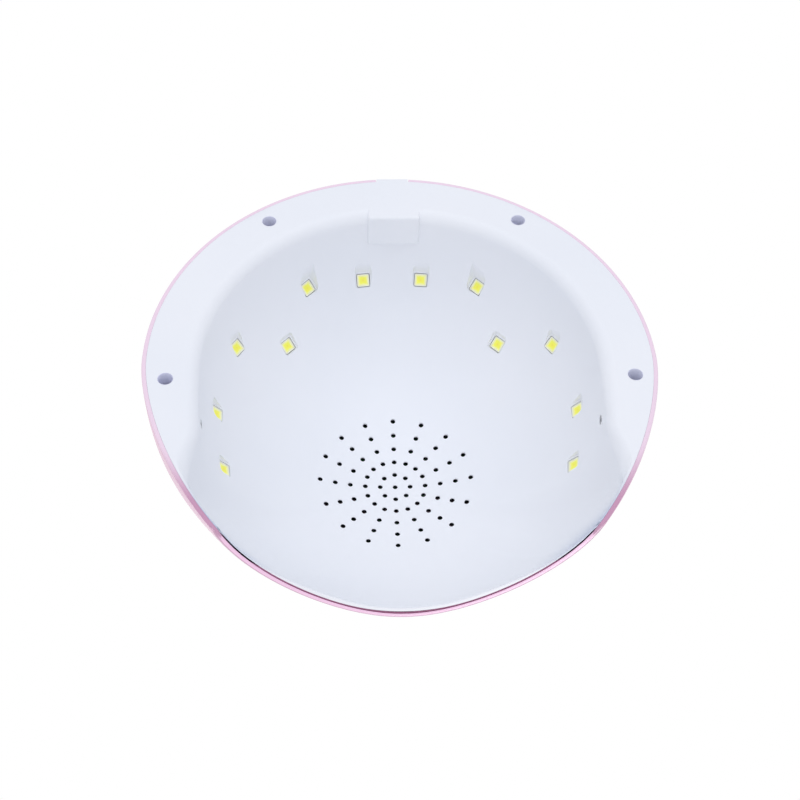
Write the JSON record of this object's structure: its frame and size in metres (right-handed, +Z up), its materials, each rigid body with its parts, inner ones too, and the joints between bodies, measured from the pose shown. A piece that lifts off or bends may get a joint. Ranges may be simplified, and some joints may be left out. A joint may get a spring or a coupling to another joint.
{
  "type": "gel nail lamp",
  "caption": "Domed table-top gel nail lamp with an arched mouth for the hand, a white reflector lined with small lights, a control face with sprung timer buttons and a rear power socket.",
  "frame": {"origin": "centre of the bounding box on the table plane that the flat rim stands on", "axes": "+X across the mouth, +Y from the mouth to the rear with the lead socket, +Z up from the table"},
  "size_m": [0.187, 0.1696, 0.102],
  "materials": {
    "pink_shell": "glossy moulded pink",
    "white_liner": "satin moulded white with a cool tint",
    "screw_steel": "zinc plated",
    "light_phosphor": "yellow silicone over a white package",
    "light_board": "satin",
    "black_plastic": "moulded black",
    "capacitor_sleeve": "shrunk sleeve",
    "green_board": "solder mask",
    "coil_copper": "enamelled copper winding",
    "socket_nylon": "natural nylon",
    "smoked_window": "smoked clear plastic",
    "white_button": "moulded white"
  },
  "bodies": {
    "casing": {"outer_shell": "pink_shell", "inner_liner": "white_liner", "case_screw_1": "screw_steel", "case_screw_2": "screw_steel", "case_screw_3": "screw_steel", "case_screw_4": "screw_steel", "led_bead_01": "light_phosphor", "led_board_01": "light_board", "led_bead_02": "light_phosphor", "led_board_02": "light_board", "led_bead_03": "light_phosphor", "led_board_03": "light_board", "led_bead_04": "light_phosphor", "led_board_04": "light_board", "led_bead_05": "light_phosphor", "led_board_05": "light_board", "led_bead_06": "light_phosphor", "led_board_06": "light_board", "led_bead_07": "light_phosphor", "led_board_07": "light_board", "led_bead_08": "light_phosphor", "led_board_08": "light_board", "led_bead_09": "light_phosphor", "led_board_09": "light_board", "led_bead_10": "light_phosphor", "led_board_10": "light_board", "led_bead_11": "light_phosphor", "led_board_11": "light_board", "led_bead_12": "light_phosphor", "led_board_12": "light_board", "sensor_sender": "black_plastic", "sensor_receiver": "black_plastic", "dc_jack": "black_plastic", "main_board": "green_board", "board_screw_1": "screw_steel", "board_screw_2": "screw_steel", "board_screw_3": "screw_steel", "board_screw_4": "screw_steel", "smoothing_capacitor": "capacitor_sleeve", "switching_coil": "coil_copper", "led_driver": "black_plastic", "jack_socket": "socket_nylon", "led_socket": "socket_nylon", "display_window": "smoked_window", "display_module": "black_plastic", "control_board": "green_board", "control_screw_1": "screw_steel", "control_screw_2": "screw_steel", "switch_body_30": "black_plastic", "switch_body_60": "black_plastic", "switch_body_99": "black_plastic"},
    "timer_button_30": {"button_30": "white_button", "switch_plunger_30": "black_plastic"},
    "timer_button_60": {"button_60": "white_button", "switch_plunger_60": "black_plastic"},
    "timer_button_99": {"button_99": "white_button", "switch_plunger_99": "black_plastic"}
  },
  "joints": [
    {"name": "press_30", "type": "slide", "parent": "casing", "child": "timer_button_30", "axis": [0, -0.4048, 0.9144], "range_m": [-0.0006, 0], "stiffness_N_per_m": 1500},
    {"name": "press_60", "type": "slide", "parent": "casing", "child": "timer_button_60", "axis": [0, -0.4048, 0.9144], "range_m": [-0.0006, 0], "stiffness_N_per_m": 1500},
    {"name": "press_99", "type": "slide", "parent": "casing", "child": "timer_button_99", "axis": [0, -0.4048, 0.9144], "range_m": [-0.0006, 0], "stiffness_N_per_m": 1500}
  ]
}
